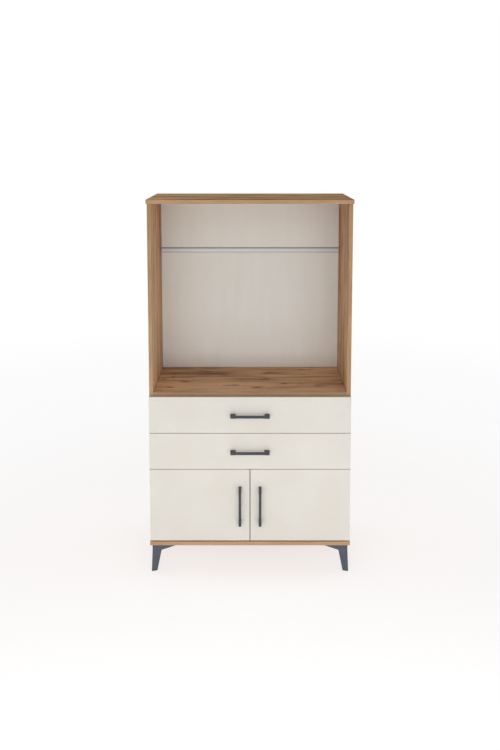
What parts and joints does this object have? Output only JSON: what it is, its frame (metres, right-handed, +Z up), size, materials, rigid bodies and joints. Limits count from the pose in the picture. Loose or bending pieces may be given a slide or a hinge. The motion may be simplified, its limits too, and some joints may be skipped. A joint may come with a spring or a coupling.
{
  "type": "wardrobe cabinet",
  "caption": "Tall free-standing cabinet: open niche over wide drawers and a pair of doors, wood-look case, off-white fronts, bar handles, splayed corner legs.",
  "frame": {"origin": "on the floor, at the middle of the overall box", "axes": "+X to the right of someone facing the fronts, +Y from the fronts to the back, +Z up"},
  "size_m": [0.9, 0.462, 1.686],
  "materials": {
    "oak_board": "matt oak-look foil with knots and fine cracks, 18 mm board",
    "white_front": "off-white matt lacquered board",
    "back_hdf": "cream printed hardboard, matt",
    "white_board": "off-white melamine board",
    "drawer_bottom_hdf": "cream printed hardboard, matt",
    "anthracite_plastic": "fine-grained moulded plastic, anthracite",
    "anthracite_metal": "anthracite powder coat, satin",
    "anodised_strip": "satin anodised",
    "slide_steel": "zinc-plated",
    "hinge_steel": "nickel-plated",
    "screw_steel": "zinc-plated",
    "cam_zinc": "die-cast, tumbled",
    "dowel_beech": "plain turned beech"
  },
  "bodies": {
    "carcass": {"top_panel": "oak_board", "bottom_panel": "oak_board", "left_side_panel": "oak_board", "right_side_panel": "oak_board", "niche_floor": "oak_board", "upper_back_board": "back_hdf", "lower_back_board": "back_hdf", "front_left_leg": "anthracite_plastic", "front_right_leg": "anthracite_plastic", "rear_left_leg": "anthracite_plastic", "rear_right_leg": "anthracite_plastic", "back_joint_strip": "anodised_strip", "cam_locks": "cam_zinc", "cam_bolts": "cam_zinc", "panel_dowels": "dowel_beech", "middle_shelf": "white_board", "leg_screws": "screw_steel", "rail_screws": "screw_steel", "hinge_screws": "screw_steel", "upper_drawer_left_rail": "slide_steel", "upper_drawer_right_rail": "slide_steel", "lower_drawer_left_rail": "slide_steel", "lower_drawer_right_rail": "slide_steel", "left_door_upper_hinge_arm": "hinge_steel", "left_door_lower_hinge_arm": "hinge_steel", "right_door_upper_hinge_arm": "hinge_steel", "right_door_lower_hinge_arm": "hinge_steel"},
    "upper_drawer": {"upper_drawer_front": "white_front", "upper_drawer_left_wall": "white_board", "upper_drawer_right_wall": "white_board", "upper_drawer_back_wall": "white_board", "upper_drawer_bottom": "drawer_bottom_hdf", "upper_drawer_handle": "anthracite_metal", "upper_drawer_handle_screws": "screw_steel", "upper_drawer_left_runner": "slide_steel", "upper_drawer_right_runner": "slide_steel"},
    "upper_drawer_left_slide": {"upper_drawer_left_slide": "slide_steel"},
    "upper_drawer_right_slide": {"upper_drawer_right_slide": "slide_steel"},
    "lower_drawer": {"lower_drawer_front": "white_front", "lower_drawer_left_wall": "white_board", "lower_drawer_right_wall": "white_board", "lower_drawer_back_wall": "white_board", "lower_drawer_bottom": "drawer_bottom_hdf", "lower_drawer_handle": "anthracite_metal", "lower_drawer_handle_screws": "screw_steel", "lower_drawer_left_runner": "slide_steel", "lower_drawer_right_runner": "slide_steel"},
    "lower_drawer_left_slide": {"lower_drawer_left_slide": "slide_steel"},
    "lower_drawer_right_slide": {"lower_drawer_right_slide": "slide_steel"},
    "left_door": {"left_door_panel": "white_front", "left_door_handle": "anthracite_metal", "left_door_handle_screws": "screw_steel", "left_door_upper_hinge_cup": "hinge_steel", "left_door_lower_hinge_cup": "hinge_steel"},
    "right_door": {"right_door_panel": "white_front", "right_door_handle": "anthracite_metal", "right_door_handle_screws": "screw_steel", "right_door_upper_hinge_cup": "hinge_steel", "right_door_lower_hinge_cup": "hinge_steel"}
  },
  "joints": [
    {"name": "upper_drawer_pull", "type": "slide", "parent": "carcass", "child": "upper_drawer", "axis": [0, -1, 0], "range_m": [0, 0.35]},
    {"name": "lower_drawer_pull", "type": "slide", "parent": "carcass", "child": "lower_drawer", "axis": [0, -1, 0], "range_m": [0, 0.35]},
    {"name": "upper_drawer_left_slide_travel", "type": "slide", "parent": "carcass", "child": "upper_drawer_left_slide", "axis": [0, -1, 0], "range_m": [0, 0.175]},
    {"name": "upper_drawer_right_slide_travel", "type": "slide", "parent": "carcass", "child": "upper_drawer_right_slide", "axis": [0, -1, 0], "range_m": [0, 0.175]},
    {"name": "lower_drawer_left_slide_travel", "type": "slide", "parent": "carcass", "child": "lower_drawer_left_slide", "axis": [0, -1, 0], "range_m": [0, 0.175]},
    {"name": "lower_drawer_right_slide_travel", "type": "slide", "parent": "carcass", "child": "lower_drawer_right_slide", "axis": [0, -1, 0], "range_m": [0, 0.175]},
    {"name": "left_door_swing", "type": "hinge", "parent": "carcass", "child": "left_door", "pos_m": [-0.443, -0.196, 0.313], "axis": [0, 0, -1], "range_deg": [0, 105]},
    {"name": "right_door_swing", "type": "hinge", "parent": "carcass", "child": "right_door", "pos_m": [0.443, -0.196, 0.313], "axis": [0, 0, 1], "range_deg": [0, 105]}
  ],
  "couplings": [
    {"joint": "upper_drawer_left_slide_travel", "follows": "upper_drawer_pull", "ratio": 0.5},
    {"joint": "upper_drawer_right_slide_travel", "follows": "upper_drawer_pull", "ratio": 0.5},
    {"joint": "lower_drawer_left_slide_travel", "follows": "lower_drawer_pull", "ratio": 0.5},
    {"joint": "lower_drawer_right_slide_travel", "follows": "lower_drawer_pull", "ratio": 0.5}
  ]
}
